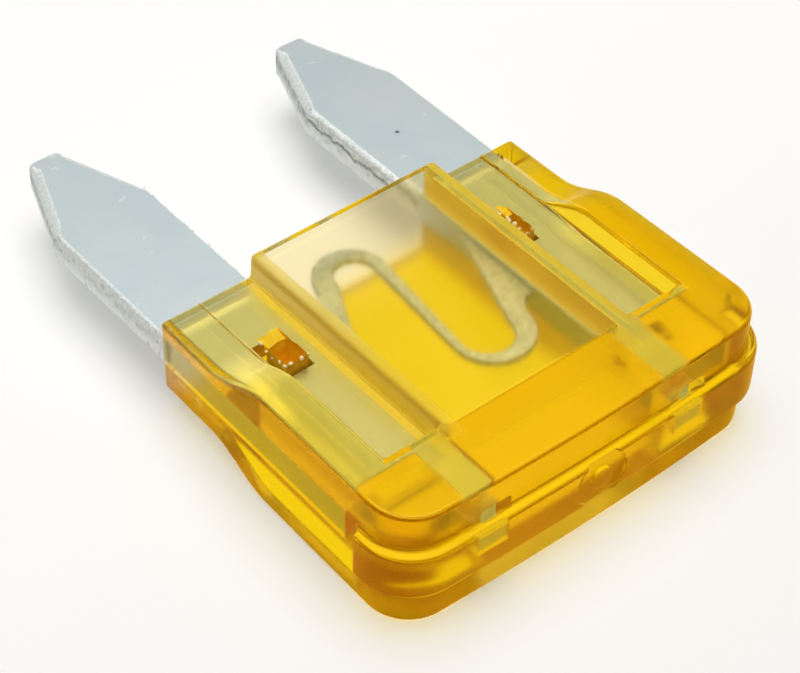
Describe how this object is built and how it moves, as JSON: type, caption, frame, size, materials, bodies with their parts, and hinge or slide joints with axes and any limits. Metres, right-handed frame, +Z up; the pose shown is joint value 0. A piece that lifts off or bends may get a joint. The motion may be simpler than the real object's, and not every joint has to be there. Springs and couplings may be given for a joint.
{
  "type": "automotive blade fuse",
  "caption": "Miniature automotive blade fuse: a translucent amber moulded housing with a window over an S-shaped element, and flat zinc blades with tapered tips, lying flat.",
  "frame": {"origin": "centre of the bounding box on the surface the fuse lies on", "axes": "+Y along the blades, from the head to the tips; +Z up through the fuse's thickness; X across the width"},
  "size_m": [0.0116, 0.0166, 0.0034],
  "materials": {
    "amber_plastic": "translucent amber, moulded smooth",
    "zinc": "matt rolled zinc with sheared edges"
  },
  "bodies": {
    "root": {"housing": "amber_plastic", "fuse_link": "zinc"}
  },
  "joints": []
}
